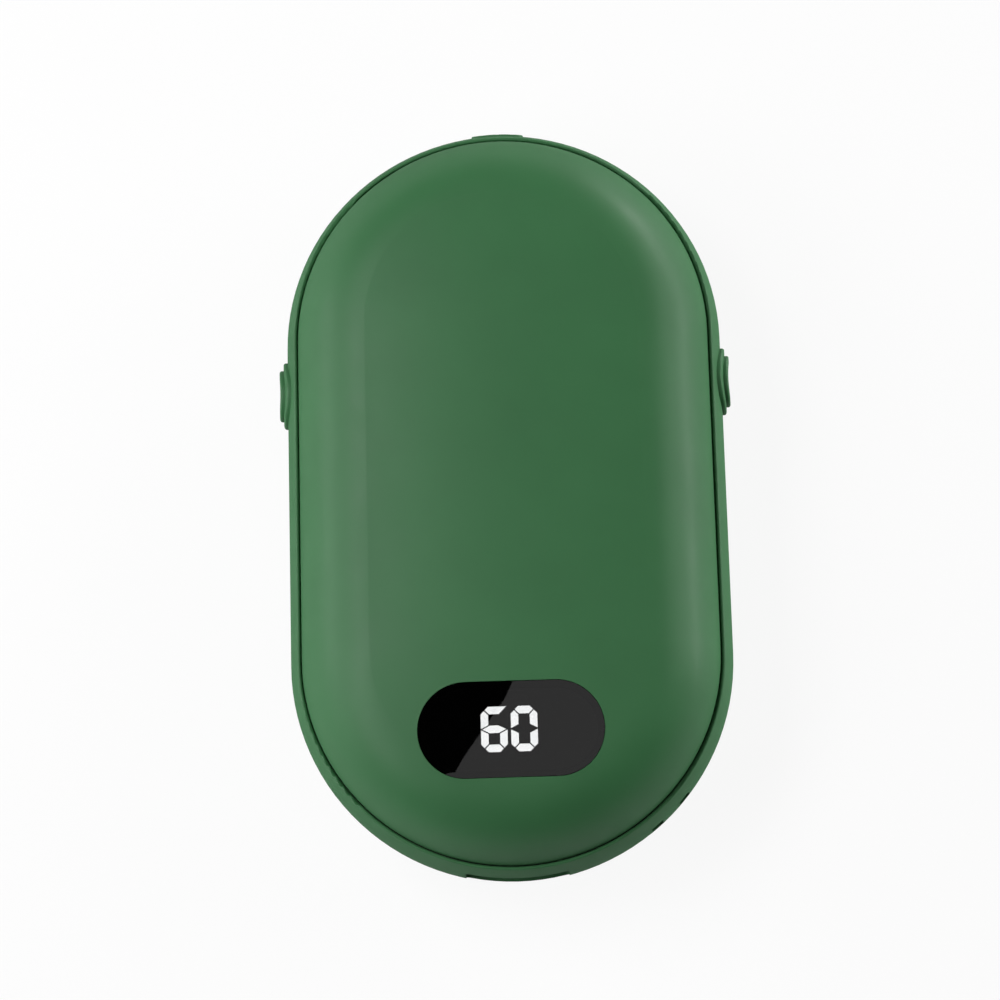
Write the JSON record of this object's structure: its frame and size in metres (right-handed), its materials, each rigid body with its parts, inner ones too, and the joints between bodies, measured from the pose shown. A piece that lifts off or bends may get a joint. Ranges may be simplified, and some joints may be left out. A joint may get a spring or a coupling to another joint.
{
  "type": "rechargeable hand warmer",
  "caption": "Palm-sized capsule hand warmer with domed covers in a rim, a flush display window, push buttons on its sides and top end, a charging port and a lanyard tunnel.",
  "frame": {"origin": "middle of the flat resting patch on the back cover", "axes": "+Z out of the display face, +Y along the length towards the power button, +X to the right seen from the front"},
  "size_m": [0.0664, 0.1114, 0.0302],
  "materials": {
    "shell_green": "soft-touch satin green",
    "frame_green": "satin green",
    "button_green": "satin green",
    "seal_black": "matt near-black",
    "window_smoked": "polished smoked lens",
    "clear_tape": "thin black tape",
    "mask_black": "matt black",
    "digit_lit": "glowing white",
    "digit_unlit": "dark smoked",
    "led_amber": "clear resin",
    "board_green": "solder mask",
    "chip_black": "moulded epoxy",
    "ferrite_grey": "ferrite",
    "ceramic_tan": "ceramic",
    "connector_white": "nylon",
    "steel": "plated",
    "nickel": "plain strip",
    "bezel_black": "matt black",
    "pouch_foil": "satin laminate",
    "carrier_grey": "moulded",
    "plate_aluminium": "rolled sheet",
    "film_amber": "polyimide film",
    "foam_grey": "open foam",
    "lead_red": "silicone sleeve",
    "lead_black": "silicone sleeve",
    "lead_white": "silicone sleeve",
    "brass_pin": "plated"
  },
  "bodies": {
    "casing": {"front_cover": "shell_green", "back_cover": "shell_green", "middle_frame": "frame_green", "front_seal": "seal_black", "back_seal": "seal_black", "display_window": "window_smoked", "window_adhesive": "clear_tape", "display_mask": "mask_black", "digit_segments_lit": "digit_lit", "digit_segments_unlit": "digit_unlit", "display_leds": "led_amber", "display_board": "board_green", "display_posts": "connector_white", "display_header": "brass_pin", "port_bezel": "bezel_black", "usb_shell": "steel", "usb_tongue": "chip_black", "main_board": "board_green", "controller_chips": "chip_black", "power_inductor": "ferrite_grey", "board_capacitors": "ceramic_tan", "lead_connectors": "connector_white", "board_screws": "steel", "battery_cell_front": "pouch_foil", "battery_cell_back": "pouch_foil", "battery_carrier": "carrier_grey", "carrier_screws": "steel", "cell_tabs": "nickel", "protection_board": "board_green", "protection_chips": "chip_black", "front_foam_pad": "foam_grey", "back_foam_pad": "foam_grey", "front_heat_plate": "plate_aluminium", "back_heat_plate": "plate_aluminium", "front_heater_film": "film_amber", "back_heater_film": "film_amber", "thermistors": "chip_black", "battery_lead_red": "lead_red", "battery_lead_black": "lead_black", "front_heater_leads": "lead_white", "back_heater_leads": "lead_white", "left_switch_leads": "lead_white", "right_switch_leads": "lead_white", "power_switch_leads": "lead_white", "left_switch_body": "chip_black", "left_switch_board": "board_green", "right_switch_body": "chip_black", "right_switch_board": "board_green", "power_switch_body": "chip_black", "power_switch_board": "board_green"},
    "left_button_unit": {"left_button": "button_green", "left_switch_plunger": "carrier_grey"},
    "right_button_unit": {"right_button": "button_green", "right_switch_plunger": "carrier_grey"},
    "power_button_unit": {"power_button": "button_green", "power_switch_plunger": "carrier_grey"}
  },
  "joints": [
    {"name": "left_button_press", "type": "slide", "parent": "casing", "child": "left_button_unit", "axis": [1, 0, 0], "range_m": [0, 0.0004], "stiffness_N_per_m": 600},
    {"name": "right_button_press", "type": "slide", "parent": "casing", "child": "right_button_unit", "axis": [-1, 0, 0], "range_m": [0, 0.0004], "stiffness_N_per_m": 600},
    {"name": "power_button_press", "type": "slide", "parent": "casing", "child": "power_button_unit", "axis": [0, -1, 0], "range_m": [0, 0.0004], "stiffness_N_per_m": 600}
  ]
}
